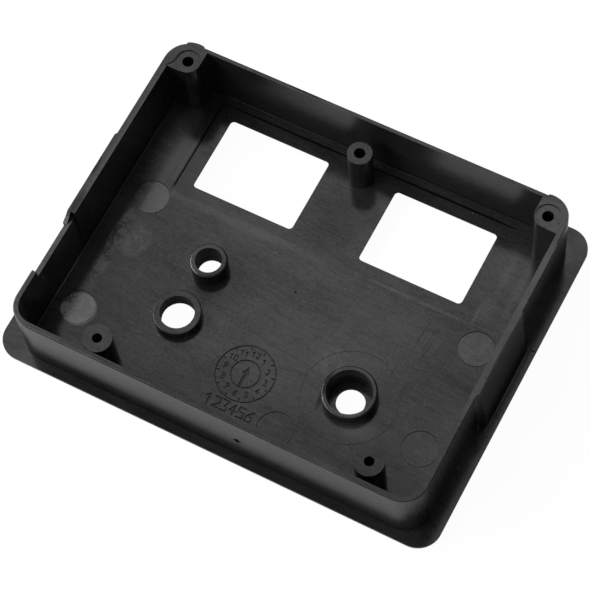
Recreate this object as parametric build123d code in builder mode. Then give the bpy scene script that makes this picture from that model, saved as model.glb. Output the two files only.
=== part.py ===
from build123d import *
import os
from math import atan, atan2, cos, degrees, radians, sin, tan

# Moulded plastic front housing, drawn open side up.
# Millimetres; +Z is up, X is the long side, and the outer panel face lies on z = 0.
# The origin is the centre of the flange's outline on that face.

# Driving dimensions: flange and panel
FLANGE_LENGTH = 110.0
FLANGE_WIDTH = 84.3
FLANGE_CORNER = 5.5
FLANGE_THICKNESS = 2.9
FACE_BEVEL = 2.2
FLOOR_TOP = 3.6

# Driving dimensions: the wall that stands on the flange
RIM_HEIGHT = 20.5
WALL_LEFT = -50.15
WALL_RIGHT = 51.0
WALL_FRONT = -39.8
WALL_BACK = 39.1
WALL_CORNER = 5.85
LEFT_THICKNESS = 1.17
RIGHT_THICKNESS = 1.3
FRONT_THICKNESS = 1.2
BACK_THICKNESS = 0.95
WALL_DRAFT = 0.25
CAVITY_DRAFT = 0.2
RIM_EDGE_ROUND = 0.25
FRONT_RIM_ROUND = 0.55
CAVITY_FOOT_ROUND = 0.4

# The lowered length of the left rim
NOTCH_FRONT = -27.3
NOTCH_BACK = -11.0
NOTCH_DEPTH = 2.3
NOTCH_REACH = 6.0
NOTCH_OUTER_X = -49.65
STRIP_THICKNESS = 0.43
RIGHT_STRIP_BACK = 29.0

# Wedge pads on the outer faces of the two short walls
LEFT_PAD_FRONT = -14.3
LEFT_PAD_BACK = 11.3
LEFT_PAD_REACH = 0.3
RIGHT_PAD_FRONT = -11.2
RIGHT_PAD_BACK = 11.6
RIGHT_PAD_REACH = 0.35
PAD_FOOT_REACH = 2.0
PAD_FOOT_TAPER = 1.9
PAD_RIM_TAPER = 0.8
PAD_ROOT = 0.4
PAD_SLOPE = ((-11.0, 20.5), (-11.9, 19.4), (-13.4, 18.3), (-14.3, 18.1), (-14.3, 20.5))

# Corner posts at the two back corners, with their screw bosses
POST_RADIUS = 5.56
POST_Y = 33.9
POSTS = ((-44.3, -47.1, -43.05), (45.3, 44.2, 51.0))
CORNER_BOSSES = ((-44.7, -44.3, -1), (46.2, 45.3, 1))
CORNER_BOSS_Y = 34.4
CORNER_BOSS_RADIUS = 2.91
WEB_MARGIN = 0.15
WEB_CORNER = 3.7
BOSS_RECESS = 0.35
GUSSET_RECESS = 0.25
GUSSET_START = 0.5
GUSSET_TAPER = 1.6
GUSSET_WIDTH = 2.0

# Screw bosses that stand on the floor
LOW_BOSS_TOP = 14.9
MIDDLE_BOSS_X = 0.2
MIDDLE_BOSS_Y = 32.8
MIDDLE_BOSS_RADIUS = 2.91
FRONT_BOSS_RADIUS = 3.41
FRONT_BOSS_LEFT_X = -30.8
FRONT_BOSS_LEFT_Y = -33.4
FRONT_BOSS_RIGHT_X = 36.1
FRONT_BOSS_RIGHT_Y = -32.5
BACK_PILOT_RADIUS = 1.34
FRONT_PILOT_RADIUS = 1.16
PILOT_FLOOR = 4.6

# Windows and the shallow pocket round them
POCKET_DEPTH = 0.4
POCKET_LEFT = -38.0
POCKET_RIGHT = 38.9
POCKET_FRONT = 10.7
POCKET_BACK = 36.1
POCKET_CORNER = 1.6
WINDOW_CENTRES = ((-21.15, 23.25), (21.95, 23.4))
WINDOW_LENGTH = 25.95
WINDOW_WIDTH = 19.35
WINDOW_CORNER = 1.0
WINDOW_LIP = 0.4
WINDOW_FLARE = 2.0

# Collars: a tall narrow one, a low wide one and a stepped one
TALL_COLLAR = (-20.1, -3.2)
TALL_COLLAR_RADIUS = 4.35
TALL_COLLAR_TOP = 7.8
TALL_BORE_RADIUS = 3.11
TALL_BORE_FLARE = 1.0
LOW_COLLAR = (-20.8, -17.0)
LOW_COLLAR_RADIUS = 5.55
LOW_COLLAR_TOP = 6.05
LOW_BORE_RADIUS = 4.02
LOW_BORE_FLARE = 1.9
STEP_COLLAR = (23.1, -17.4)
STEP_COLLAR_RADIUS = 6.35
STEP_COLLAR_TOP = 6.9
STEP_BORE_RADIUS = 3.34
STEP_MOUTH_RADIUS = 5.3
STEP_SEAT_RADIUS = 4.9
STEP_SEAT_HEIGHT = 0.9
STEP_FOOT_HEIGHT = 0.45
STEP_FOOT_REACH = 0.25
COLLAR_TOP_ROUND = 0.45
MOUTH_CHAMFER = 0.25

# Witness marks of the mould's ejector pins and insert
EJECTOR_RADIUS = 4.31
EJECTOR_DEPTH = 0.06
EJECTOR_GROOVE_WIDTH = 0.2
EJECTOR_GROOVE_DEPTH = 0.22
EJECTORS = ((42.4, -21.4), (42.9, 5.4), (-41.15, 6.8), (-42.6, -25.1), (11.8, -31.5))
INSERT_RADIUS = 11.24
INSERT_GROOVE_WIDTH = 0.16
INSERT_GROOVE_DEPTH = 0.1

# Month dial and a row of plain numbers, engraved in the floor
ENGRAVING_DEPTH = 0.25
LINE_WIDTH = 0.32
DIAL_CENTRE = (-0.4, -22.7)
DIAL_RADIUS = 7.0
DIAL_INNER_RADIUS = 3.5
DIAL_NUMBER_RADIUS = 5.0
DIAL_NUMBER_SIZE = 1.25
DIAL_STROKE = 0.22
DIAL_MONTHS = 12
DIAL_TICK = 0.75
POINTER_LENGTH = 5.0
POINTER_WIDTH = 1.9
POINTER_STEM = 0.7
ROW_CENTRE = (0.1, -31.4)
ROW_DIGITS = "123456"
ROW_SIZE = 2.5
ROW_PITCH = 2.05
ROW_STROKE = 0.42

# Stroke figures on a box 1 high: the corners that each line runs through
FIGURE_WIDTH = 0.55
FIGURE_PITCH = 0.85
FIGURES = {
    "0": ((-1, 0), (-1, 2), (1, 2), (1, 0), (-1, 0)),
    "1": ((-1, 1.5), (0, 2), (0, 0)),
    "2": ((-1, 2), (1, 2), (1, 1), (-1, 0), (1, 0)),
    "3": ((-1, 2), (1, 2), (0, 1), (1, 0.7), (1, 0), (-1, 0)),
    "4": ((0.4, 0), (0.4, 2), (-1, 0.7), (1, 0.7)),
    "5": ((1, 2), (-1, 2), (-1, 1.1), (1, 1.1), (1, 0), (-1, 0)),
    "6": ((1, 2), (-1, 1), (-1, 0), (1, 0), (1, 1), (-1, 1)),
    "7": ((-1, 2), (1, 2), (-0.2, 0)),
    "8": ((-1, 1), (-1, 2), (1, 2), (1, 1), (-1, 1), (-1, 0), (1, 0), (1, 1)),
    "9": ((1, 1), (-1, 1), (-1, 2), (1, 2), (1, 1), (-1, 0)),
}

# Small marks: a dent in the front wall, a pit in the floor and a nick in the flange
DENT_X = 7.6
DENT_Z = 11.2
DENT_SIZE = 1.6
DENT_DEPTH = 0.45
DENT_CLEARANCE = 1.0
PIT_CENTRE = (0.2, 0.0)
PIT_RADIUS = 0.25
PIT_DEPTH = 0.4
NICK_CENTRE = (54.4, 10.7)
NICK_LENGTH = 1.8
NICK_WIDTH = 0.3
NICK_DEPTH = 0.3

# Worked out from the dimensions above
WALL_HEIGHT = RIM_HEIGHT - FLANGE_THICKNESS
CAVITY_HEIGHT = RIM_HEIGHT - FLOOR_TOP
WALL_LEAN = WALL_HEIGHT * tan(radians(WALL_DRAFT))
CAVITY_LEAN = CAVITY_HEIGHT * tan(radians(CAVITY_DRAFT))
CAVITY_LEFT = WALL_LEFT + LEFT_THICKNESS
CAVITY_RIGHT = WALL_RIGHT - RIGHT_THICKNESS
CAVITY_FRONT = WALL_FRONT + FRONT_THICKNESS
CAVITY_BACK = WALL_BACK - BACK_THICKNESS
CAVITY_CORNER = WALL_CORNER - FRONT_THICKNESS
POCKET_FLOOR = FLOOR_TOP - POCKET_DEPTH
WINDOW_BEVEL = POCKET_FLOOR - WINDOW_LIP
WINDOW_ANGLE = degrees(atan(WINDOW_FLARE / WINDOW_BEVEL))
STEP_MOUTH_DEPTH = STEP_COLLAR_TOP - STEP_SEAT_HEIGHT
STEP_MOUTH_ANGLE = degrees(atan((STEP_MOUTH_RADIUS - STEP_SEAT_RADIUS) / STEP_MOUTH_DEPTH))


def span_rectangle(left, right, front, back, corner, growth=0.0):
    """Draw a rounded rectangle between four sides, each moved outward by growth."""
    with Locations(((left + right) / 2, (front + back) / 2)):
        RectangleRounded(right - left + 2 * growth, back - front + 2 * growth, corner + growth)


def upright_disc(centre, radius, bottom, top, mode=Mode.ADD):
    """Extrude a disc between two heights."""
    with BuildSketch(Plane.XY.offset(bottom)) as disc:
        with Locations(centre):
            Circle(radius)
    extrude(disc.sketch, amount=top - bottom, mode=mode)


def flared_bore(centre, radius, flare, top):
    """Cut a through bore whose front end opens out as a 45 degree countersink."""
    upright_disc(centre, radius, 0, top, Mode.SUBTRACT)
    with BuildSketch() as mouth:
        with Locations(centre):
            Circle(radius + flare)
    extrude(mouth.sketch, amount=flare, taper=45, mode=Mode.SUBTRACT)


def wedge_pad(wall_x, side, rim_reach, front, back):
    """Loft a wedge pad that leans out from rim to flange; side is -1 on the left, 1 on the right."""
    root = wall_x - side * PAD_ROOT
    levels = (
        (FLANGE_THICKNESS, PAD_FOOT_REACH, PAD_FOOT_TAPER),
        (RIM_HEIGHT, rim_reach, PAD_RIM_TAPER),
    )
    sections = []
    for height, reach, taper in levels:
        tip = wall_x + side * reach
        with BuildSketch(Plane.XY.offset(height)) as section:
            with BuildLine():
                Polyline((root, front), (tip, front + taper), (tip, back - taper), (root, back), close=True)
            make_face()
        sections.append(section.sketch.face())
    loft(sections)


def corner_web(boss_x, post_x, side):
    """Fill a back corner up to the rim round its boss; side is -1 on the left, 1 on the right."""
    wall_x = CAVITY_LEFT if side < 0 else CAVITY_RIGHT
    inner_x = boss_x - side * (CORNER_BOSS_RADIUS + WEB_MARGIN)
    front_y = CORNER_BOSS_Y - CORNER_BOSS_RADIUS - WEB_MARGIN
    outer_x = wall_x + side * WEB_MARGIN
    back_y = CAVITY_BACK + WEB_MARGIN
    with BuildSketch(Plane.XY.offset(FLOOR_TOP)) as web:
        with BuildLine():
            Polyline(
                (outer_x, front_y),
                (boss_x, front_y),
                (inner_x, CORNER_BOSS_Y),
                (inner_x, back_y),
                (boss_x, back_y),
                (post_x + side * WEB_CORNER, POST_Y + WEB_CORNER),
                (outer_x, CORNER_BOSS_Y),
                close=True,
            )
        make_face()
        with Locations((boss_x, CORNER_BOSS_Y)):
            Circle(CORNER_BOSS_RADIUS + WEB_MARGIN)
    extrude(web.sketch, amount=CAVITY_HEIGHT)


def gusset_facets(boss_x, side):
    """Lower the two small triangles where a corner boss runs into the walls; side as in corner_web."""
    edge = CORNER_BOSS_RADIUS + WEB_MARGIN
    to_side_wall = abs((CAVITY_LEFT if side < 0 else CAVITY_RIGHT) - boss_x)
    to_back_wall = CAVITY_BACK - CORNER_BOSS_Y
    for reach, across in ((to_side_wall, False), (to_back_wall, True)):
        corners = ((reach, -edge), (GUSSET_START, -edge), (reach - GUSSET_TAPER, GUSSET_WIDTH - edge))
        if across:
            corners = tuple((-along, -out) for out, along in corners)
        with BuildSketch(Plane.XY.offset(RIM_HEIGHT)) as facet:
            with BuildLine():
                Polyline([(boss_x + side * x, CORNER_BOSS_Y + y) for x, y in corners], close=True)
            make_face()
        extrude(facet.sketch, amount=-GUSSET_RECESS, mode=Mode.SUBTRACT)


def stroke_figures(digits, centre, size, pitch, stroke):
    """Draw a centred row of figures as round ended strokes; pitch is the distance between figures."""
    for index, digit in enumerate(digits):
        middle = centre[0] + (index - (len(digits) - 1) / 2) * pitch
        corners = [
            Vector(middle + x * size * FIGURE_WIDTH / 2, centre[1] + (y - 1) * size / 2)
            for x, y in FIGURES[digit]
        ]
        for start, end in zip(corners, corners[1:]):
            run = end - start
            with Locations((start + end) / 2):
                SlotCenterToCenter(run.length, stroke, rotation=degrees(atan2(run.Y, run.X)))


with BuildPart() as cavity:
    with BuildSketch(Plane.XY.offset(FLOOR_TOP)):
        span_rectangle(
            CAVITY_LEFT, CAVITY_RIGHT, CAVITY_FRONT, CAVITY_BACK, CAVITY_CORNER, -CAVITY_LEAN
        )
    extrude(amount=CAVITY_HEIGHT, taper=-CAVITY_DRAFT)
    fillet(cavity.edges().group_by(Axis.Z)[0], radius=CAVITY_FOOT_ROUND)


with BuildPart() as housing:
    # Flange: a plate whose outer face edge is bevelled all round
    with BuildSketch():
        RectangleRounded(FLANGE_LENGTH, FLANGE_WIDTH, FLANGE_CORNER)
    extrude(amount=FLANGE_THICKNESS)
    chamfer(housing.edges().group_by(Axis.Z)[0], length=FACE_BEVEL)

    # Walls: a drafted block on the flange, hollowed once the posts and pads are on
    with BuildSketch(Plane.XY.offset(FLANGE_THICKNESS)):
        span_rectangle(WALL_LEFT, WALL_RIGHT, WALL_FRONT, WALL_BACK, WALL_CORNER, WALL_LEAN)
    extrude(amount=WALL_HEIGHT, taper=WALL_DRAFT)
    fillet(housing.edges().group_by(Axis.Z)[-1], radius=RIM_EDGE_ROUND)

    # The front rim's outer edge is rounded more than the rest
    with BuildSketch(Plane.YZ.offset(WALL_LEFT + WALL_CORNER)):
        with Locations((WALL_FRONT + FRONT_RIM_ROUND, RIM_HEIGHT - FRONT_RIM_ROUND)):
            Rectangle(2 * FRONT_RIM_ROUND, 2 * FRONT_RIM_ROUND, align=(Align.MAX, Align.MIN))
            Circle(FRONT_RIM_ROUND, mode=Mode.SUBTRACT)
    extrude(amount=WALL_RIGHT - WALL_LEFT - 2 * WALL_CORNER, mode=Mode.SUBTRACT)

    # Behind its pad the right wall keeps a square outer edge up to the rim
    strip_front = RIGHT_PAD_BACK - PAD_FOOT_TAPER
    with BuildSketch(Plane.XY.offset(FLANGE_THICKNESS)):
        with Locations((WALL_RIGHT - PAD_ROOT, strip_front)):
            Rectangle(PAD_ROOT + WALL_LEAN, RIGHT_STRIP_BACK - strip_front, align=Align.MIN)
    extrude(amount=WALL_HEIGHT)

    for post_x, start, end in POSTS:
        with BuildSketch(Plane.XY.offset(FLANGE_THICKNESS)):
            with Locations((post_x, POST_Y)):
                Circle(POST_RADIUS)
            with Locations(((start + end) / 2, POST_Y)):
                Rectangle(end - start, 2 * POST_RADIUS, mode=Mode.INTERSECT)
        extrude(amount=WALL_HEIGHT)

    wedge_pad(WALL_LEFT, -1, LEFT_PAD_REACH, LEFT_PAD_FRONT, LEFT_PAD_BACK)
    wedge_pad(WALL_RIGHT, 1, RIGHT_PAD_REACH, RIGHT_PAD_FRONT, RIGHT_PAD_BACK)

    # The left pad's front end slopes down outside the lowered rim
    with BuildSketch(Plane.YZ.offset(NOTCH_OUTER_X)):
        with BuildLine():
            Polyline(PAD_SLOPE, close=True)
        make_face()
    extrude(amount=-NOTCH_REACH, mode=Mode.SUBTRACT)
    add(cavity.part, mode=Mode.SUBTRACT)

    # Behind its lowered length the left wall grows a little thicker towards the rim
    with BuildSketch(Plane.XZ.offset(-NOTCH_BACK)):
        with BuildLine():
            Polyline(
                (CAVITY_LEFT - WEB_MARGIN, FLOOR_TOP),
                (CAVITY_LEFT + CAVITY_LEAN, FLOOR_TOP),
                (CAVITY_LEFT + STRIP_THICKNESS, RIM_HEIGHT),
                (CAVITY_LEFT - WEB_MARGIN, RIM_HEIGHT),
                close=True,
            )
        make_face()
    extrude(amount=NOTCH_BACK - CORNER_BOSS_Y)

    # Lowered length of the left rim
    with BuildSketch(Plane.XY.offset(RIM_HEIGHT - NOTCH_DEPTH)):
        with Locations((WALL_LEFT, NOTCH_FRONT)):
            Rectangle(NOTCH_REACH, LEFT_PAD_FRONT - NOTCH_FRONT, align=(Align.CENTER, Align.MIN))
        with Locations((NOTCH_OUTER_X, NOTCH_FRONT)):
            Rectangle(NOTCH_REACH, NOTCH_BACK - NOTCH_FRONT, align=Align.MIN)
    extrude(amount=NOTCH_DEPTH, mode=Mode.SUBTRACT)

    # Back corner webs with their recessed boss tops
    for boss_x, post_x, side in CORNER_BOSSES:
        corner_web(boss_x, post_x, side)
        gusset_facets(boss_x, side)
        boss = (boss_x, CORNER_BOSS_Y)
        upright_disc(boss, CORNER_BOSS_RADIUS, RIM_HEIGHT - BOSS_RECESS, RIM_HEIGHT, Mode.SUBTRACT)
        upright_disc(boss, BACK_PILOT_RADIUS, PILOT_FLOOR, RIM_HEIGHT, Mode.SUBTRACT)

    # Pocket and the windows in it, flared towards the outer face
    with BuildSketch(Plane.XY.offset(POCKET_FLOOR)):
        span_rectangle(POCKET_LEFT, POCKET_RIGHT, POCKET_FRONT, POCKET_BACK, POCKET_CORNER)
    extrude(amount=POCKET_DEPTH, mode=Mode.SUBTRACT)
    with BuildSketch():
        with Locations(*WINDOW_CENTRES):
            RectangleRounded(WINDOW_LENGTH, WINDOW_WIDTH, WINDOW_CORNER)
    extrude(amount=POCKET_FLOOR, mode=Mode.SUBTRACT)
    with BuildSketch():
        with Locations(*WINDOW_CENTRES):
            RectangleRounded(
                WINDOW_LENGTH + 2 * WINDOW_FLARE,
                WINDOW_WIDTH + 2 * WINDOW_FLARE,
                WINDOW_CORNER + WINDOW_FLARE,
            )
    extrude(amount=WINDOW_BEVEL, taper=WINDOW_ANGLE, mode=Mode.SUBTRACT)

    # Low screw bosses
    low_bosses = (
        ((MIDDLE_BOSS_X, MIDDLE_BOSS_Y), MIDDLE_BOSS_RADIUS, BACK_PILOT_RADIUS),
        ((FRONT_BOSS_LEFT_X, FRONT_BOSS_LEFT_Y), FRONT_BOSS_RADIUS, FRONT_PILOT_RADIUS),
        ((FRONT_BOSS_RIGHT_X, FRONT_BOSS_RIGHT_Y), FRONT_BOSS_RADIUS, FRONT_PILOT_RADIUS),
    )
    for centre, radius, pilot in low_bosses:
        upright_disc(centre, radius, POCKET_FLOOR, LOW_BOSS_TOP)
        upright_disc(centre, pilot, PILOT_FLOOR, LOW_BOSS_TOP, Mode.SUBTRACT)

    # Plain collars
    upright_disc(TALL_COLLAR, TALL_COLLAR_RADIUS, FLOOR_TOP, TALL_COLLAR_TOP)
    fillet(housing.edges(Select.LAST).group_by(Axis.Z)[-1], radius=COLLAR_TOP_ROUND)
    flared_bore(TALL_COLLAR, TALL_BORE_RADIUS, TALL_BORE_FLARE, TALL_COLLAR_TOP)
    upright_disc(LOW_COLLAR, LOW_COLLAR_RADIUS, FLOOR_TOP, LOW_COLLAR_TOP)
    fillet(housing.edges(Select.LAST).group_by(Axis.Z)[-1], radius=MOUTH_CHAMFER)
    flared_bore(LOW_COLLAR, LOW_BORE_RADIUS, LOW_BORE_FLARE, LOW_COLLAR_TOP)

    # Stepped collar: a foot ring, and a tapered mouth down to a thin seat with a bore
    upright_disc(STEP_COLLAR, STEP_COLLAR_RADIUS, FLOOR_TOP, STEP_COLLAR_TOP)
    fillet(housing.edges(Select.LAST).group_by(Axis.Z)[-1], radius=COLLAR_TOP_ROUND)
    foot_radius = STEP_COLLAR_RADIUS + STEP_FOOT_REACH
    upright_disc(STEP_COLLAR, foot_radius, FLOOR_TOP, FLOOR_TOP + STEP_FOOT_HEIGHT)
    upright_disc(STEP_COLLAR, STEP_BORE_RADIUS, 0, STEP_COLLAR_TOP, Mode.SUBTRACT)
    with BuildSketch(Plane.XY.offset(STEP_SEAT_HEIGHT)):
        with Locations(STEP_COLLAR):
            Circle(STEP_SEAT_RADIUS)
    extrude(amount=STEP_MOUTH_DEPTH, taper=-STEP_MOUTH_ANGLE, mode=Mode.SUBTRACT)

    # Witness marks of the ejector pins and of the insert round the stepped collar
    for centre in EJECTORS:
        upright_disc(centre, EJECTOR_RADIUS, FLOOR_TOP - EJECTOR_DEPTH, FLOOR_TOP, Mode.SUBTRACT)
    with BuildSketch(Plane.XY.offset(FLOOR_TOP)):
        with Locations(*EJECTORS):
            Circle(EJECTOR_RADIUS)
            Circle(EJECTOR_RADIUS - EJECTOR_GROOVE_WIDTH, mode=Mode.SUBTRACT)
    extrude(amount=-EJECTOR_GROOVE_DEPTH, mode=Mode.SUBTRACT)
    with BuildSketch(Plane.XY.offset(FLOOR_TOP)):
        with Locations(STEP_COLLAR):
            Circle(INSERT_RADIUS)
            Circle(INSERT_RADIUS - INSERT_GROOVE_WIDTH, mode=Mode.SUBTRACT)
    extrude(amount=-INSERT_GROOVE_DEPTH, mode=Mode.SUBTRACT)

    # Dial rings, ticks and pointer
    with BuildSketch(Plane.XY.offset(FLOOR_TOP)):
        with Locations(DIAL_CENTRE):
            for radius in (DIAL_RADIUS, DIAL_INNER_RADIUS):
                Circle(radius)
                Circle(radius - LINE_WIDTH, mode=Mode.SUBTRACT)
            with PolarLocations(DIAL_RADIUS - LINE_WIDTH, DIAL_MONTHS, start_angle=15):
                Rectangle(DIAL_TICK, LINE_WIDTH, align=(Align.MAX, Align.CENTER))
            Rectangle(POINTER_STEM, POINTER_LENGTH - POINTER_WIDTH, align=(Align.CENTER, Align.MAX))
            with BuildLine():
                Polyline(
                    (DIAL_CENTRE[0] - POINTER_WIDTH / 2, DIAL_CENTRE[1]),
                    (DIAL_CENTRE[0], DIAL_CENTRE[1] + POINTER_WIDTH),
                    (DIAL_CENTRE[0] + POINTER_WIDTH / 2, DIAL_CENTRE[1]),
                    close=True,
                )
            make_face()
    extrude(amount=-ENGRAVING_DEPTH, mode=Mode.SUBTRACT)

    # Dial numbers and the row of numbers below it
    with BuildSketch(Plane.XY.offset(FLOOR_TOP)):
        for month in range(1, DIAL_MONTHS + 1):
            angle = radians(month * 360 / DIAL_MONTHS)
            place = (
                DIAL_CENTRE[0] + DIAL_NUMBER_RADIUS * sin(angle),
                DIAL_CENTRE[1] + DIAL_NUMBER_RADIUS * cos(angle),
            )
            pitch = DIAL_NUMBER_SIZE * FIGURE_PITCH
            stroke_figures(str(month), place, DIAL_NUMBER_SIZE, pitch, DIAL_STROKE)
        stroke_figures(ROW_DIGITS, ROW_CENTRE, ROW_SIZE, ROW_PITCH, ROW_STROKE)
    extrude(amount=-ENGRAVING_DEPTH, mode=Mode.SUBTRACT)

    # Dent in the front wall, pit in the floor and nick in the flange
    with BuildSketch(Plane.XZ.offset(DENT_CLEARANCE - WALL_FRONT)):
        with Locations((DENT_X, DENT_Z)):
            Rectangle(DENT_SIZE, DENT_SIZE, rotation=45)
    extrude(amount=-DENT_CLEARANCE - DENT_DEPTH, mode=Mode.SUBTRACT)
    upright_disc(PIT_CENTRE, PIT_RADIUS, FLOOR_TOP - PIT_DEPTH, FLOOR_TOP, Mode.SUBTRACT)
    with BuildSketch(Plane.XY.offset(FLANGE_THICKNESS)):
        with Locations(NICK_CENTRE):
            Rectangle(NICK_LENGTH, NICK_WIDTH)
    extrude(amount=-NICK_DEPTH, mode=Mode.SUBTRACT)

housing.part.label = "housing"
os.makedirs("parts", exist_ok=True)
export_step(housing.part, "parts/housing.step")
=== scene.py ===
import logging
import math
from dataclasses import dataclass, field
from enum import Enum
from typing import Optional, Sequence, Union

import bpy
from mathutils import Matrix, Vector

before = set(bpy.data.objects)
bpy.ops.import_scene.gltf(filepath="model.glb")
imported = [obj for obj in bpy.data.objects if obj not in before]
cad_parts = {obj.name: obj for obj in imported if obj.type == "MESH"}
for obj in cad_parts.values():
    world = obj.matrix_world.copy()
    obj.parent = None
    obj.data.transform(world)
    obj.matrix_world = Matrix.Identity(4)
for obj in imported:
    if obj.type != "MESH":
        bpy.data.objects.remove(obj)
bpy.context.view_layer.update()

MM = 0.001
IMAGE_SIDE_PX = 590
SENSOR_MM = 36.0

# A patch on the plan reaches through every height, in millimetres
ANY_HEIGHT = 1000.0

# The most that u * (1 - u) comes to, where the upward part u of a normal is a half
EDGE_PEAK = 0.25

Colour = tuple[float, float, float, float]
Socket = bpy.types.NodeSocket
Value = Union[float, Sequence[float], Socket]

WHITE: Colour = (1.0, 1.0, 1.0, 1.0)

log = logging.getLogger("housing")


def point(x: float, y: float, z: float = 0.0) -> tuple[float, float, float]:
    """Turn millimetres on the moulding into metres."""
    return (x * MM, y * MM, z * MM)


def direction(azimuth: float, elevation: float) -> Vector:
    """Return the unit vector towards an azimuth and an elevation in degrees."""
    turn, rise = math.radians(azimuth), math.radians(elevation)
    return Vector((math.cos(turn) * math.cos(rise), math.sin(turn) * math.cos(rise), math.sin(rise)))


@dataclass(frozen=True)
class Ramp:
    """A smooth change from start to end while a value goes from low to high."""

    low: float
    high: float
    start: float = 0.0
    end: float = 1.0


class Graph:
    """A short hand for wiring shader nodes in one tree."""

    def __init__(self, tree: bpy.types.NodeTree) -> None:
        """Keep the tree that new nodes go into."""
        self.tree = tree

    def feed(self, socket: Socket, value: Value) -> None:
        """Link a socket to an output, or set it to a plain value.

        Args:
            socket: The input to feed.
            value: An output, or a number or numbers; one number fills a socket of several.
        """
        if isinstance(value, bpy.types.NodeSocket):
            self.tree.links.new(value, socket)
        elif hasattr(socket.default_value, "__len__") and not hasattr(value, "__len__"):
            socket.default_value = [value] * len(socket.default_value)
        else:
            socket.default_value = value

    def add(self, kind: str, inputs: Optional[dict] = None, **settings: object) -> bpy.types.Node:
        """Make a node.

        Args:
            kind: The node's type.
            inputs: Socket name or index to value or output.
            **settings: Properties set on the node itself.

        Returns:
            The new node.
        """
        node = self.tree.nodes.new(kind)
        for name, value in settings.items():
            setattr(node, name, value)
        for name, value in (inputs or {}).items():
            self.feed(node.inputs[name], value)
        return node

    def math(self, operation: str, *values: Value, clamp: bool = False) -> Socket:
        """Combine values with a Math node.

        Args:
            operation: The node's operation.
            *values: Its inputs, in order.
            clamp: Whether the result is held between 0 and 1.

        Returns:
            The node's output.
        """
        node = self.add("ShaderNodeMath", operation=operation, use_clamp=clamp)
        for socket, value in zip(node.inputs, values):
            self.feed(socket, value)
        return node.outputs[0]

    def sway(self, pattern: Socket, weight: float, value: Value) -> Socket:
        """Add a pattern that is centred on a half to a value, so that the value keeps its mean."""
        return self.math("MULTIPLY_ADD", self.math("SUBTRACT", pattern, 0.5), weight, value)

    def vector(self, operation: str, first: Value, second: Value) -> Socket:
        """Combine two vectors with a Vector Math node and return the new one."""
        return self.add("ShaderNodeVectorMath", {0: first, 1: second}, operation=operation).outputs[0]

    def ramp(self, value: Value, ramp: Ramp, unit: float = 1.0) -> Socket:
        """Map a value through a ramp, held at both ends.

        Args:
            value: The value to map.
            ramp: The ramp.
            unit: What the ramp's low and high are measured in.

        Returns:
            The mapped value.
        """
        inputs = {
            "Value": value,
            "From Min": ramp.low * unit,
            "From Max": ramp.high * unit,
            "To Min": ramp.start,
            "To Max": ramp.end,
        }
        node = self.add("ShaderNodeMapRange", inputs, interpolation_type="SMOOTHSTEP", clamp=True)
        return node.outputs["Result"]

    def noise(self, vector: Value, scale: Value, detail: float, rough: float) -> Socket:
        """Return the value of a noise texture."""
        inputs = {"Vector": vector, "Scale": scale, "Detail": detail, "Roughness": rough}
        return self.add("ShaderNodeTexNoise", inputs).outputs["Fac"]

    def mix_colour(self, factor: Value, first: Value, second: Value) -> Socket:
        """Mix two colours.

        Args:
            factor: The second colour's share.
            first: The first colour.
            second: The second colour.

        Returns:
            The mixed colour.
        """
        node = self.add("ShaderNodeMix", data_type="RGBA", blend_type="MIX")
        self.feed(node.inputs["Factor"], factor)
        self.feed(node.inputs[6], first)
        self.feed(node.inputs[7], second)
        return node.outputs[2]

    def group(self, tree: bpy.types.NodeTree, inputs: dict) -> Socket:
        """Place a node group.

        Args:
            tree: The group.
            inputs: Socket name to value or output.

        Returns:
            The group's output.
        """
        node = self.tree.nodes.new("ShaderNodeGroup")
        node.node_tree = tree
        for name, value in inputs.items():
            self.feed(node.inputs[name], value)
        return node.outputs[0]


@dataclass(frozen=True)
class GroupSocket:
    """A named socket of a shader node group."""

    name: str
    kind: str = "NodeSocketFloat"
    default: Optional[float] = None


def new_group(name: str, inputs: Sequence[GroupSocket], output: str) -> tuple[Graph, bpy.types.Node, Socket]:
    """Make an empty shader node group with named sockets.

    Args:
        name: The group's name.
        inputs: Its input sockets.
        output: The name of its only output.

    Returns:
        The group's graph, its input node and the socket that its result goes into.
    """
    tree = bpy.data.node_groups.new(name, "ShaderNodeTree")
    for item in inputs:
        socket = tree.interface.new_socket(name=item.name, in_out="INPUT", socket_type=item.kind)
        if item.default is not None:
            socket.default_value = item.default
    tree.interface.new_socket(name=output, in_out="OUTPUT", socket_type="NodeSocketFloat")
    start, end = tree.nodes.new("NodeGroupInput"), tree.nodes.new("NodeGroupOutput")
    return Graph(tree), start, end.inputs[output]


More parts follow.
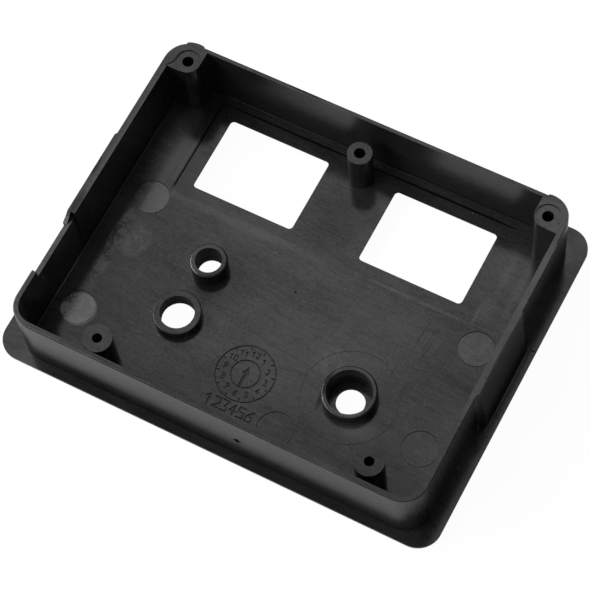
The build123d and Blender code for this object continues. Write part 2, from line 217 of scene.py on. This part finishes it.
class Effects:
    """Shader node groups that the finishes share, built once each."""

    GRAIN_DETAIL = 4.0
    GRAIN_ROUGH = 0.6
    COARSE_GRAIN_SCALE = 0.22
    COARSE_GRAIN_DETAIL = 2.0
    COARSE_GRAIN_ROUGH = 0.55
    COARSE_GRAIN_SHARE = 0.8
    GRAIN_LEVEL = 0.55
    BEND_SCALE = 45.0
    BEND_DETAIL = 1.0
    BEND_MIDDLE = (0.5, 0.5, 0.5)
    STREAK_DETAIL = 4.0
    STREAK_ROUGH = 0.62
    PLAN = (1.0, 1.0, 0.0)
    SPECK_EDGE = 3.0

    def __init__(self) -> None:
        """Build every group."""
        self.grain = self._grain()
        self.streaks = self._streaks()
        self.spot = self._spot()
        self.specks = self._specks()

    def _grain(self) -> bpy.types.NodeTree:
        """Build the fine tooled grain of the mould's surface.

        Returns:
            The group.
        """
        sockets = (GroupSocket("Vector", "NodeSocketVector"), GroupSocket("Scale", default=2500.0))
        graph, start, result = new_group("Moulded grain", sockets, "Height")
        vector, scale = start.outputs["Vector"], start.outputs["Scale"]
        fine = graph.noise(vector, scale, self.GRAIN_DETAIL, self.GRAIN_ROUGH)
        coarse_scale = graph.math("MULTIPLY", scale, self.COARSE_GRAIN_SCALE)
        coarse = graph.noise(vector, coarse_scale, self.COARSE_GRAIN_DETAIL, self.COARSE_GRAIN_ROUGH)
        mixed = graph.math("MULTIPLY_ADD", coarse, self.COARSE_GRAIN_SHARE, fine)
        graph.feed(result, graph.math("MULTIPLY", mixed, self.GRAIN_LEVEL))
        return graph.tree

    def _streaks(self) -> bpy.types.NodeTree:
        """Build flow streaks: noise drawn out along one direction and bent a little.

        Returns:
            The group.
        """
        sockets = (
            GroupSocket("Vector", "NodeSocketVector"),
            GroupSocket("Turn"),
            GroupSocket("Scale", default=160.0),
            GroupSocket("Stretch", default=0.08),
            GroupSocket("Bend", default=0.004),
        )
        graph, start, result = new_group("Flow streaks", sockets, "Streaks")
        vector = start.outputs["Vector"]
        wander = graph.add("ShaderNodeTexNoise", {
            "Vector": vector,
            "Scale": self.BEND_SCALE,
            "Detail": self.BEND_DETAIL,
        })
        centred = graph.vector("SUBTRACT", wander.outputs["Color"], self.BEND_MIDDLE)
        inputs = {0: centred, "Scale": start.outputs["Bend"]}
        swing = graph.add("ShaderNodeVectorMath", inputs, operation="SCALE")
        bent = graph.vector("ADD", vector, swing.outputs[0])
        inputs = {"Vector": bent, "Angle": start.outputs["Turn"]}
        turned = graph.add("ShaderNodeVectorRotate", inputs, rotation_type="Z_AXIS")
        parts = graph.add("ShaderNodeSeparateXYZ", {0: turned.outputs[0]})
        drawn = graph.add("ShaderNodeCombineXYZ", {
            "X": graph.math("MULTIPLY", parts.outputs["X"], start.outputs["Stretch"]),
            "Y": parts.outputs["Y"],
            "Z": parts.outputs["Z"],
        })
        scale = start.outputs["Scale"]
        graph.feed(result, graph.noise(drawn.outputs[0], scale, self.STREAK_DETAIL, self.STREAK_ROUGH))
        return graph.tree

    def _spot(self) -> bpy.types.NodeTree:
        """Build a round or oval mask on the plan, full inside and fading past its edge.

        Returns:
            The group.
        """
        sockets = (
            GroupSocket("Vector", "NodeSocketVector"),
            GroupSocket("Centre", "NodeSocketVector"),
            GroupSocket("Radii", "NodeSocketVector"),
            GroupSocket("Softness", default=0.3),
        )
        graph, start, result = new_group("Plan spot", sockets, "Mask")
        offset = graph.vector("SUBTRACT", start.outputs["Vector"], start.outputs["Centre"])
        scaled = graph.vector("DIVIDE", offset, start.outputs["Radii"])
        flat = graph.vector("MULTIPLY", scaled, self.PLAN)
        length = graph.add("ShaderNodeVectorMath", {0: flat}, operation="LENGTH")
        inputs = {
            "Value": length.outputs["Value"],
            "From Min": graph.math("ADD", 1.0, start.outputs["Softness"]),
            "From Max": graph.math("SUBTRACT", 1.0, start.outputs["Softness"]),
        }
        fade = graph.add("ShaderNodeMapRange", inputs, interpolation_type="SMOOTHSTEP", clamp=True)
        graph.feed(result, fade.outputs["Result"])
        return graph.tree

    def _specks(self) -> bpy.types.NodeTree:
        """Build scattered specks of dust: small dots in some of the cells of a random pattern.

        Returns:
            The group.
        """
        sockets = (
            GroupSocket("Vector", "NodeSocketVector"),
            GroupSocket("Scale", default=700.0),
            GroupSocket("Size", default=0.16),
            GroupSocket("Share", default=0.3),
        )
        graph, start, result = new_group("Dust specks", sockets, "Mask")
        size = start.outputs["Size"]
        inputs = {"Vector": start.outputs["Vector"], "Scale": start.outputs["Scale"]}
        cells = graph.add("ShaderNodeTexVoronoi", inputs)
        chance = graph.add("ShaderNodeSeparateXYZ", {0: cells.outputs["Color"]})
        chosen = graph.math("LESS_THAN", chance.outputs["X"], start.outputs["Share"])
        reach = graph.math("MULTIPLY", size, chance.outputs["Y"])
        inside = graph.math("SUBTRACT", reach, cells.outputs["Distance"])
        dot = graph.math("MULTIPLY", inside, graph.math("DIVIDE", self.SPECK_EDGE, size), clamp=True)
        graph.feed(result, graph.math("MULTIPLY", dot, chosen))
        return graph.tree


@dataclass(frozen=True)
class Streaks:
    """A set of streaks: its turn in degrees, how fine and drawn out it is, and how far it bends."""

    turn: float
    scale: float = 160.0
    stretch: float = 0.08
    bend: float = 0.004

    def draw(self, graph: Graph, effects: Effects, place: Socket) -> Socket:
        """Draw the streaks at a place.

        Args:
            graph: The material's graph.
            effects: The shared shader node groups.
            place: The object coordinates.

        Returns:
            The streaks' value.
        """
        return graph.group(effects.streaks, {
            "Vector": place,
            "Turn": math.radians(self.turn),
            "Scale": self.scale,
            "Stretch": self.stretch,
            "Bend": self.bend,
        })


@dataclass(frozen=True)
class Clouds:
    """A cloudy pattern: how fine it is, its detail and its roughness."""

    scale: float
    detail: float
    rough: float

    def draw(self, graph: Graph, effects: Effects, place: Socket) -> Socket:
        """Draw the clouds at a place.

        Args:
            graph: The material's graph.
            effects: The shared shader node groups, which clouds make no use of.
            place: The object coordinates.

        Returns:
            The clouds' value.
        """
        return graph.noise(place, self.scale, self.detail, self.rough)


class Pattern(Enum):
    """The patterns in the moulded surface."""

    FLOW = Streaks(8.0)
    CROSS_FLOW = Streaks(92.0, scale=260.0)
    FINE_LINES = Streaks(2.0, scale=2000.0, stretch=0.09)
    SCRATCHES = Streaks(94.0, scale=2600.0, stretch=0.03, bend=0.001)
    CLOUDS = Clouds(55.0, 4.0, 0.6)
    BLOTCHES = Clouds(330.0, 4.0, 0.65)
    SPECKLE = Clouds(2100.0, 2.0, 0.6)


@dataclass(frozen=True)
class Patch:
    """An oval on the plan, in millimetres, with its strength and how softly it ends."""

    x: float
    y: float
    reach_x: float
    reach_y: float
    strength: float
    soft: float = 0.4


class Dust(Enum):
    """Where light dust lies in blotches."""

    LEFT_WALL_MIDDLE = Patch(-43.3, -4.0, 1.8, 6.8, 1.0)
    LEFT_WALL_FRONT = Patch(-43.1, -14.0, 1.5, 4.6, 0.95)
    LEFT_OF_TALL_COLLAR = Patch(-39.6, -4.0, 3.4, 4.2, 0.6)
    FRONT_LEFT_EJECTOR = Patch(-42.4, -25.3, 4.1, 4.0, 1.0, 0.1)
    BACK_LEFT_EJECTOR = Patch(-41.15, 6.8, 4.2, 4.2, 0.42, 0.1)
    RIGHT_EJECTOR = Patch(42.9, 5.4, 4.2, 4.2, 0.07, 0.1)
    POCKET_CORNER = Patch(-36.6, 9.9, 1.3, 0.8, 0.4, 0.7)
    STEP_COLLAR_SIDE = Patch(15.4, -11.4, 3.0, 3.0, 0.12, 0.8)


class PaintedLight(Enum):
    """Where light is painted as an even, thin pale film: lifted shade at the left wall's foot and under the
    step collar, lighter bands along the left wall and in its back corner, and a painted highlight line at the
    right pad's foot.
    """

    # Painted light: lighter bands in the back left corner, at the left wall's foot and along it
    LEFT_BACK_CORNER = Patch(-43.6, 19.0, 2.8, 11.0, 0.42, 0.8)
    LEFT_WALL_FOOT = Patch(-46.8, -3.0, 2.4, 34.0, 0.13, 0.9)
    LEFT_WALL_BAND = Patch(-43.7, -6.0, 1.5, 19.0, 0.42, 0.7)
    # Painted light that lifts the step collar's shadow
    STEP_COLLAR_FOOT = Patch(26.6, -22.8, 4.2, 2.6, 0.16, 0.8)
    # A painted highlight line along the pad's foot
    RIGHT_PAD_FOOT = Patch(53.25, 0.3, 0.2, 11.3, 0.22, 0.3)


class Sheen(Enum):
    """Where the surface is smoother than around it and shines more."""

    FRONT_LEFT_EJECTOR = Patch(-42.2, -25.3, 4.0, 4.0, 1.7, 0.1)
    BACK_LEFT_EJECTOR = Patch(-41.15, 6.8, 4.15, 4.15, 0.75, 0.04)
    RIGHT_EJECTOR = Patch(42.9, 5.4, 4.15, 4.15, 0.4, 0.04)
    FRONT_RIGHT_EJECTOR = Patch(42.4, -21.4, 4.15, 4.15, 0.06, 0.04)
    LEFT_BACK_CORNER = Patch(-41.6, 17.0, 2.4, 9.0, 0.3, 0.8)
    LEFT_POCKET_EDGE = Patch(-38.8, 20.5, 0.7, 8.5, 0.4, 0.5)
    POCKET_FRONT_BAND = Patch(-18.5, 9.6, 19.0, 1.1, 0.42, 0.6)
    RIGHT_POCKET_FRONT = Patch(26.0, 10.2, 13.0, 0.42, 0.5, 0.4)
    RIGHT_POCKET_END = Patch(39.3, 13.4, 0.4, 3.0, 0.5, 0.5)
    RIGHT_POCKET_CORNER = Patch(40.6, 15.4, 1.8, 2.6, 0.35, 0.8)
    RIGHT_BACK_STREAK = Patch(41.0, 25.5, 0.8, 7.0, 0.3, 0.8)
    RIGHT_WALL_STREAK = Patch(45.0, 22.5, 0.8, 8.0, 0.3, 0.8)
    TALL_COLLAR_TOP = Patch(-21.6, -2.6, 3.4, 4.4, 0.45, 0.4)
    LOWERED_RIM = Patch(-49.5, -19.2, 1.2, 8.2, 0.6, 0.05)
    LEFT_RIM_BACK = Patch(-49.6, 22.0, 0.9, 9.0, 0.15, 0.5)
    RIGHT_RIM = Patch(50.3, 8.0, 1.2, 26.0, 0.6, 0.4)
    RIGHT_BACK_POST = Patch(47.6, 34.5, 5.0, 5.0, 0.45, 0.3)
    FLANGE_CORNER = Patch(52.6, 38.0, 2.0, 6.0, 0.25, 0.5)


class WearAndShade(Enum):
    """Where the surface is darker and shines less: a scuff on the front wall and a nick in the back rim,
    painted shade under the collars, along the pockets' edges, on the right pad and over the step collar's lit
    edge, the floor painted darker towards the front and the right, and darker places on the rims, between the
    windows and on the back left boss.
    """

    LEFT_RIM_MIDDLE = Patch(-50.2, 1.7, 0.55, 2.9, 0.8)
    LEFT_RIM_FRONT = Patch(-49.4, -8.3, 0.8, 3.2, 0.7)
    # Painted shade: the floor darker towards the front and the right
    FLOOR_FRONT_RIGHT = Patch(33.0, -31.0, 24.0, 13.0, 0.42, 0.9)
    FLOOR_RIGHT = Patch(41.0, -6.0, 13.0, 17.0, 0.34, 0.9)
    FLOOR_FRONT_LEFT = Patch(-37.0, -22.0, 9.0, 13.0, 0.24, 0.9)
    FLOOR_FRONT = Patch(-8.0, -34.0, 26.0, 10.0, 0.18, 0.9)
    BETWEEN_WINDOWS = Patch(0.4, 22.0, 7.0, 9.0, 0.3, 0.9)
    # Painted shadows under the tall and the low collar
    TALL_COLLAR_FOOT = Patch(-18.2, -8.4, 2.6, 3.0, 0.6, 0.8)
    LOW_COLLAR_FOOT = Patch(-17.8, -22.6, 3.4, 1.4, 0.35, 0.8)
    # Painted shade along the pockets' edges
    LEFT_POCKET_SIDE = Patch(-38.12, 23.4, 0.24, 13.5, 0.9, 0.3)
    LEFT_POCKET_BACK = Patch(-17.0, 35.95, 21.0, 0.2, 0.8, 0.3)
    RIGHT_POCKET_BACK = Patch(21.5, 36.1, 17.5, 0.2, 0.9, 0.3)
    BACK_RIM_NICK = Patch(-16.5, 38.9, 4.5, 0.35, 0.9, 0.4)
    # Painted shade on the pad, where it mirrors the table in shadow
    RIGHT_PAD = Patch(52.1, 0.0, 1.05, 12.5, 1.0, 0.1)
    # Painted shade over the step collar's lit edge
    STEP_COLLAR_EDGE = Patch(17.5, -18.8, 0.9, 4.4, 0.9, 0.5)
    FRONT_RIM = Patch(0.0, -39.4, 50.0, 0.9, 0.36, 0.3)
    LEFT_RIM = Patch(-49.9, 16.0, 0.9, 20.0, 0.32, 0.4)
    BACK_LEFT_BOSS = Patch(-44.7, 33.5, 4.4, 3.8, 0.4, 0.4)
    FRONT_WALL_SCUFF = Patch(-17.0, -40.0, 4.5, 1.4, 0.35, 0.9)


class Slope(Enum):
    """Faces told apart by the upward part of their normal."""

    FACING_UP = Ramp(0.4, 0.95)
    NOT_LEVEL = Ramp(0.998, 0.98)
    NOT_UPRIGHT = Ramp(0.02, 0.1)
    STEEP = Ramp(0.6, 0.3)


class Height(Enum):
    """Places told apart by their height, in millimetres; the floor's top is at 3.6."""

    RIM = Ramp(16.4, 17.63)
    WALL_FOOT = Ramp(4.68, 4.14)
    BELOW_FLOOR = Ramp(3.61, 3.57)
    ABOVE_POCKETS = Ramp(2.988, 3.096)
    ENGRAVED = Ramp(3.5, 3.42)


class Surface:
    """The masks and patterns that a finish reads at each point."""

    def __init__(self, graph: Graph, effects: Effects) -> None:
        """Read a point's place, its height and how far it faces up, and draw the patterns there.

        Args:
            graph: The material's graph.
            effects: The shared shader node groups.
        """
        self.graph = graph
        self.effects = effects
        self.place = graph.add("ShaderNodeTexCoord").outputs["Object"]
        self.height = graph.add("ShaderNodeSeparateXYZ", {0: self.place}).outputs["Z"]
        normal = graph.add("ShaderNodeNewGeometry").outputs["Normal"]
        self.upward = graph.add("ShaderNodeSeparateXYZ", {0: normal}).outputs["Z"]
        self.facing_up = self.slope(Slope.FACING_UP)
        self.rim = self.level(Height.RIM)
        self.patterns = {pattern: pattern.value.draw(graph, effects, self.place) for pattern in Pattern}

    def slope(self, slope: Slope) -> Socket:
        """Return the mask of the faces with a slope."""
        return self.graph.ramp(self.upward, slope.value)

    def level(self, height: Height) -> Socket:
        """Return the mask of the places at a height."""
        return self.graph.ramp(self.height, height.value, MM)

    def weigh(self, weights: dict[Pattern, float]) -> Socket:
        """Add patterns up by their weights.

        Args:
            weights: Each pattern's weight.

        Returns:
            The sum.
        """
        total: Value = 0.0
        for pattern, weight in weights.items():
            total = self.graph.math("MULTIPLY_ADD", self.patterns[pattern], weight, total)
        return total

    def spot(self, patch: Patch) -> Socket:
        """Draw a patch.

        Args:
            patch: The patch.

        Returns:
            Its mask times its strength.
        """
        mask = self.graph.group(self.effects.spot, {
            "Vector": self.place,
            "Centre": point(patch.x, patch.y),
            "Radii": point(patch.reach_x, patch.reach_y, ANY_HEIGHT),
            "Softness": patch.soft,
        })
        return self.graph.math("MULTIPLY", mask, patch.strength)

    def patches(self, options: type[Enum]) -> Socket:
        """Join several patches, keeping the strongest at each place.

        Args:
            options: The options whose values are the patches.

        Returns:
            The joined mask.
        """
        joined: Value = 0.0
        for option in options:
            joined = self.graph.math("MAXIMUM", joined, self.spot(option.value))
        return joined

    def shaded_creases(self) -> Socket:
        """Find the fillets at the walls' and bosses' feet, and the sides of shallow recesses, which get
        painted shade.

        Returns:
            Their mask.
        """
        graph = self.graph
        tilted = graph.math("MULTIPLY", self.slope(Slope.NOT_LEVEL), self.slope(Slope.NOT_UPRIGHT))
        feet = graph.math("MULTIPLY", tilted, self.level(Height.WALL_FOOT))
        sunk = graph.math("MULTIPLY", self.level(Height.BELOW_FLOOR), self.level(Height.ABOVE_POCKETS))
        sides = graph.math("MULTIPLY", sunk, self.slope(Slope.STEEP))
        return graph.math("MAXIMUM", feet, sides)


# Each pattern's weight in the haze, in the clumps of dust and in the shine
HAZE_PATTERNS = {Pattern.CLOUDS: 0.7, Pattern.FLOW: 0.9, Pattern.CROSS_FLOW: 0.3}
CLUMP_PATTERNS = {Pattern.BLOTCHES: 0.65, Pattern.SPECKLE: 0.35}
SHINE_PATTERNS = {
    Pattern.CLOUDS: 0.9,
    Pattern.FLOW: 0.9,
    Pattern.BLOTCHES: 0.45,
    Pattern.FINE_LINES: 1.15,
    Pattern.SPECKLE: 1.3,
}

# How the patterns turn into clumps of dust, the sway of the painted light and scratches
CLUMPS = Ramp(0.44, 0.56, 0.25, 1.0)
PAINTED_LIGHT_SWAY = Ramp(0.3, 0.7, 0.8, 1.2)
SCRATCH_LINES = Ramp(0.56, 0.66)

# The engraving, whose recessed marks get painted shade
ENGRAVING = Patch(0.0, -25.5, 9.5, 9.5, 0.7, 0.05)
SCRATCHED = Patch(32.5, -3.0, 7.0, 11.0, 0.5, 0.6)


@dataclass(frozen=True)
class BlackNylon:
    """Black glass filled nylon as it leaves the mould, with light dust on what faces up, painted light and
    shade in patches, and painted shade in its fillets and engraving.
    """

    resin: Colour = (0.0085, 0.0085, 0.0087, 1.0)
    film_on_sides: Colour = (0.008, 0.008, 0.0082, 1.0)
    # Near black of scuffed places, also used as painted shade
    rubbed_and_shaded: Colour = (0.002, 0.002, 0.002, 1.0)
    haze: Colour = (0.024, 0.024, 0.024, 1.0)
    # Pale grey of the dust, also used to paint light in the film patches
    dust_and_light_colour: Colour = (0.14, 0.14, 0.138, 1.0)
    haze_on_floor: float = 0.36
    haze_on_rim: float = 0.6
    # Share of that near black where wear and painted shade lie
    rubbed_and_shaded_share: float = 0.6
    speck_share: float = 0.3
    floor_roughness: float = 0.14
    rim_roughness: float = 0.28
    wall_roughness: float = 0.27
    edge_roughness: float = 0.4
    streak_roughness: float = 0.12
    # Roughness added under dust and painted light
    dust_and_light_roughness: float = 0.25
    polish_roughness: float = 0.14
    specular: float = 0.5
    matt_share: float = 0.2
    # Shine lost to wear and to painted shade
    shine_lost_to_wear_and_shade: float = 0.75
    grain_scale: float = 2500.0
    grain_depth: float = 0.000012
    grain_strength: float = 0.6
    streak_relief: float = 0.12

    def build(self, effects: Effects) -> bpy.types.Material:
        """Make the material.

        Args:
            effects: The shared shader node groups.

        Returns:
            The finished material.
        """
        material = bpy.data.materials.new("black_nylon")
        material.use_nodes = True
        material.node_tree.nodes.clear()
        graph = Graph(material.node_tree)
        surface = Surface(graph, effects)
        wear_and_shade = self._wear_and_painted_shade(graph, surface)
        dust_and_light_share = self._lay_dust_and_painted_light(graph, surface)
        shader = graph.add("ShaderNodeBsdfPrincipled", {
            "Base Color": self._colour(graph, surface, wear_and_shade, dust_and_light_share),
            "Roughness": self._roughness(graph, surface, dust_and_light_share),
            "Metallic": self._dullness(graph, surface, wear_and_shade),
            "Specular IOR Level": self.specular,
            "Coat Weight": graph.math("MULTIPLY", surface.patches(Sheen), 1.0 - self.matt_share, clamp=True),
            "Coat Roughness": self.polish_roughness,
            "Normal": self._relief(graph, surface),
        })
        graph.add("ShaderNodeOutputMaterial", {"Surface": shader.outputs[0]})
        return material

    def _wear_and_painted_shade(self, graph: Graph, surface: Surface) -> Socket:
        """Find where the surface is scuffed and darker, and where painted shade falls in its fillets, shallow
        recesses and engraving.

        Args:
            graph: The material's graph.
            surface: The surface's masks and patterns.

        Returns:
            How much wear and painted shade each point has.
        """
        rubbed_and_shaded = graph.math("MAXIMUM", surface.patches(WearAndShade), surface.shaded_creases())
        # Painted shade in the engraving's recessed marks
        engraving_shade = graph.math("MULTIPLY", surface.spot(ENGRAVING), surface.level(Height.ENGRAVED))
        return graph.math("MAXIMUM", rubbed_and_shaded, engraving_shade)

    def _lay_dust_and_painted_light(self, graph: Graph, surface: Surface) -> Socket:
        """Lay dust in clumps and as specks, and painted light as an even film, on what faces up.

        Args:
            graph: The material's graph.
            surface: The surface's masks and patterns.

        Returns:
            The share of dust and painted light.
        """
        clumps = graph.ramp(surface.weigh(CLUMP_PATTERNS), CLUMPS)
        clumped = graph.math("MULTIPLY", surface.patches(Dust), clumps)
        # Painted light: the film patches lift shade and draw highlight lines
        light_sway = graph.ramp(surface.patterns[Pattern.FLOW], PAINTED_LIGHT_SWAY)
        even = graph.math("MULTIPLY", surface.patches(PaintedLight), light_sway)
        specks = graph.group(surface.effects.specks, {"Vector": surface.place})
        dust_and_light_share = graph.math("MULTIPLY_ADD", specks, self.speck_share, graph.math("MAXIMUM", clumped, even))
        return graph.math("MULTIPLY", dust_and_light_share, surface.facing_up, clamp=True)

    def _colour(self, graph: Graph, surface: Surface, wear_and_shade: Socket, dust_and_light_share: Socket) -> Socket:
        """Colour the resin with its haze, its wear and painted shade, and the dust and painted light on it.

        Args:
            graph: The material's graph.
            surface: The surface's masks and patterns.
            wear_and_shade: How much wear and painted shade each point has.
            dust_and_light_share: The share of dust and painted light.

        Returns:
            The colour.
        """
        above_floor = self.haze_on_rim - self.haze_on_floor
        level = graph.math("MULTIPLY_ADD", surface.rim, above_floor, self.haze_on_floor)
        hazy = graph.math("MULTIPLY", surface.weigh(HAZE_PATTERNS), level)
        hazy = graph.math("MULTIPLY", hazy, surface.facing_up, clamp=True)
        colour = graph.mix_colour(surface.facing_up, self.film_on_sides, self.resin)
        colour = graph.mix_colour(hazy, colour, self.haze)
        # Darken for wear and painted shade, then lighten for dust and painted light
        colour = graph.mix_colour(graph.math("MULTIPLY", wear_and_shade, self.rubbed_and_shaded_share), colour, self.rubbed_and_shaded)
        return graph.mix_colour(dust_and_light_share, colour, self.dust_and_light_colour)

    def _roughness(self, graph: Graph, surface: Surface, dust_and_light_share: Socket) -> Socket:
        """Set the roughness of the floor, the rims, the walls and the rounded edges between them.

        Args:
            graph: The material's graph.
            surface: The surface's masks and patterns.
            dust_and_light_share: The share of dust and painted light.

        Returns:
            The roughness.
        """
        above_floor = self.rim_roughness - self.floor_roughness
        level = graph.math("MULTIPLY_ADD", surface.rim, above_floor, self.floor_roughness)
        above_wall = graph.math("SUBTRACT", level, self.wall_roughness)
        roughness = graph.math("MULTIPLY_ADD", surface.facing_up, above_wall, self.wall_roughness)
        edge = graph.math("MULTIPLY", surface.upward, graph.math("SUBTRACT", 1.0, surface.upward), clamp=True)
        roughness = graph.math("MULTIPLY_ADD", edge, self.edge_roughness / EDGE_PEAK, roughness)
        roughness = graph.sway(surface.patterns[Pattern.FLOW], self.streak_roughness, roughness)
        return graph.math("MULTIPLY_ADD", dust_and_light_share, self.dust_and_light_roughness, roughness)

    def _dullness(self, graph: Graph, surface: Surface, wear_and_shade: Socket) -> Socket:
        """Find how much of the resin's shine is lost, which a share of black metal takes away.

        Args:
            graph: The material's graph.
            surface: The surface's masks and patterns.
            wear_and_shade: How much wear and painted shade each point has.

        Returns:
            The share of the shine that is lost.
        """
        shine: Value = 1.0
        for pattern, weight in SHINE_PATTERNS.items():
            shine = graph.sway(surface.patterns[pattern], weight, shine)
        clear_of_wear_and_shade = graph.math("MULTIPLY_ADD", wear_and_shade, -self.shine_lost_to_wear_and_shade, 1.0)
        shine = graph.math("MULTIPLY", shine, clear_of_wear_and_shade)
        lines = graph.ramp(surface.patterns[Pattern.SCRATCHES], SCRATCH_LINES)
        scratches = graph.math("MULTIPLY", lines, surface.spot(SCRATCHED))
        shine = graph.math("MULTIPLY", shine, graph.math("SUBTRACT", 1.0, scratches))
        less = graph.math("MULTIPLY_ADD", surface.facing_up, self.matt_share, -1.0)
        return graph.math("MULTIPLY_ADD", shine, less, 1.0, clamp=True)

    def _relief(self, graph: Graph, surface: Surface) -> Socket:
        """Raise the fine grain and the streaks.

        Args:
            graph: The material's graph.
            surface: The surface's masks and patterns.

        Returns:
            The bumped normal.
        """
        grain = graph.group(surface.effects.grain, {"Vector": surface.place, "Scale": self.grain_scale})
        relief = graph.math("MULTIPLY_ADD", surface.patterns[Pattern.FLOW], self.streak_relief, grain)
        inputs = {"Height": relief, "Strength": self.grain_strength, "Distance": self.grain_depth}
        return graph.add("ShaderNodeBump", inputs).outputs[0]


@dataclass
class Housing:
    """The moulded housing: one CAD node, dressed in its finish."""

    node: str = "housing"
    finish: BlackNylon = field(default_factory=BlackNylon)

    def dress(self, effects: Effects) -> bpy.types.Object:
        """Give the CAD node its finish.

        Args:
            effects: The shared shader node groups.

        Returns:
            The node's object.
        """
        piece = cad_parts[self.node]
        piece.data.materials.clear()
        piece.data.materials.append(self.finish.build(effects))
        return piece


class Panel(Enum):
    """Where a soft light stands: its azimuth and elevation in degrees as seen from the housing."""

    OVERHEAD = (127.0, 62.0)
    CAMERA_SIDE = (290.0, 64.0)
    FRONT_LEFT = (200.0, 36.0)


@dataclass
class SoftLight:
    """A soft box that points at the housing: its width and height in metres and its power in watts."""

    panel: Panel
    width: float
    height: float
    power: float
    distance: float = 1.2

    def place(self) -> bpy.types.Object:
        """Make the light.

        Returns:
            Its object.
        """
        data = bpy.data.lights.new(self.panel.name.lower(), "AREA")
        data.shape = "RECTANGLE"
        data.size = self.width
        data.size_y = self.height
        data.energy = self.power
        light = bpy.data.objects.new(data.name, data)
        towards = direction(*self.panel.value)
        light.location = towards * self.distance
        light.rotation_euler = towards.to_track_quat("Z", "Y").to_euler()
        bpy.context.scene.collection.objects.link(light)
        return light


@dataclass
class Studio:
    """A pale table under an even white tent, with soft boxes."""

    table_side: float = 6.0
    table_drop: float = 0.00002
    table_colour: Colour = (0.5, 0.5, 0.5, 1.0)
    glow_strength: float = 1.04
    glow_seen: float = 0.93
    glow_mirrored: float = 0.0
    tent_strength: float = 0.16
    lights: tuple[SoftLight, ...] = (
        SoftLight(Panel.OVERHEAD, 0.8, 0.8, 2.2),
        SoftLight(Panel.CAMERA_SIDE, 0.9, 0.7, 1.4),
        SoftLight(Panel.FRONT_LEFT, 1.5, 0.6, 32.0),
    )

    def build(self) -> None:
        """Make the table, the tent and the lights."""
        self._tent()
        self._table()
        for light in self.lights:
            log.info("light %s placed", light.place().name)

    def _tent(self) -> None:
        """Set the world to even white."""
        world = bpy.data.worlds.new("tent")
        world.use_nodes = True
        world.node_tree.nodes.clear()
        graph = Graph(world.node_tree)
        white = graph.add("ShaderNodeBackground", {"Color": WHITE, "Strength": self.tent_strength})
        graph.add("ShaderNodeOutputWorld", {"Surface": white.outputs[0]})
        bpy.context.scene.world = world

    def _table(self) -> None:
        """Lay the table top, which shows white and keeps a faint shadow."""
        bpy.ops.mesh.primitive_plane_add(size=self.table_side, location=(0, 0, -self.table_drop))
        table = bpy.context.object
        table.name = "table"
        material = bpy.data.materials.new("table")
        material.use_nodes = True
        material.node_tree.nodes.clear()
        graph = Graph(material.node_tree)
        paths = graph.add("ShaderNodeLightPath")
        seen = graph.math("MULTIPLY", paths.outputs["Is Camera Ray"], self.glow_seen)
        mirrored = graph.math("MAXIMUM", paths.outputs["Is Glossy Ray"], paths.outputs["Is Transmission Ray"])
        mirrored = graph.math("MULTIPLY", mirrored, self.glow_mirrored)
        matt = graph.add("ShaderNodeBsdfDiffuse", {"Color": self.table_colour})
        glow = graph.add("ShaderNodeEmission", {"Color": WHITE, "Strength": self.glow_strength})
        share = graph.math("MAXIMUM", seen, mirrored)
        mixed = graph.add("ShaderNodeMixShader", {0: share, 1: matt.outputs[0], 2: glow.outputs[0]})
        graph.add("ShaderNodeOutputMaterial", {"Surface": mixed.outputs[0]})
        table.data.materials.append(material)


@dataclass
class Viewpoint:
    """The camera: where it looks, from which side, and how it is turned."""

    target: tuple[float, float, float] = point(-2.232, -1.338, 0.0)
    distance: float = 0.53414
    azimuth: float = -52.968
    elevation: float = 64.910
    roll: float = -9.927
    focal_px: float = 2347.8
    centre_px: tuple[float, float] = (284.35, 299.32)
    clip_start: float = 0.01

    def place(self) -> bpy.types.Object:
        """Make the scene's camera.

        Returns:
            Its object.
        """
        data = bpy.data.cameras.new("camera")
        data.sensor_width = SENSOR_MM
        data.lens = self.focal_px * SENSOR_MM / IMAGE_SIDE_PX
        data.shift_x = (IMAGE_SIDE_PX / 2 - self.centre_px[0]) / IMAGE_SIDE_PX
        data.shift_y = (self.centre_px[1] - IMAGE_SIDE_PX / 2) / IMAGE_SIDE_PX
        data.clip_start = self.clip_start
        camera = bpy.data.objects.new("camera", data)
        towards = direction(self.azimuth, self.elevation)
        roll = Matrix.Rotation(math.radians(self.roll), 3, "Z")
        turned = towards.to_track_quat("Z", "Y").to_matrix() @ roll
        stand = Matrix.Translation(Vector(self.target) + towards * self.distance)
        camera.matrix_world = stand @ turned.to_4x4()
        bpy.context.scene.collection.objects.link(camera)
        bpy.context.scene.camera = camera
        return camera


def main() -> None:
    """Dress the housing, build the studio and place the camera."""
    logging.basicConfig(level=logging.INFO, format="%(name)s: %(message)s")
    piece = Housing().dress(Effects())
    log.info("%s dressed, %d triangles", piece.name, len(piece.data.polygons))
    Studio().build()
    Viewpoint().place()
    bpy.context.scene.view_settings.view_transform = "Standard"


if __name__ == "__main__":
    main()
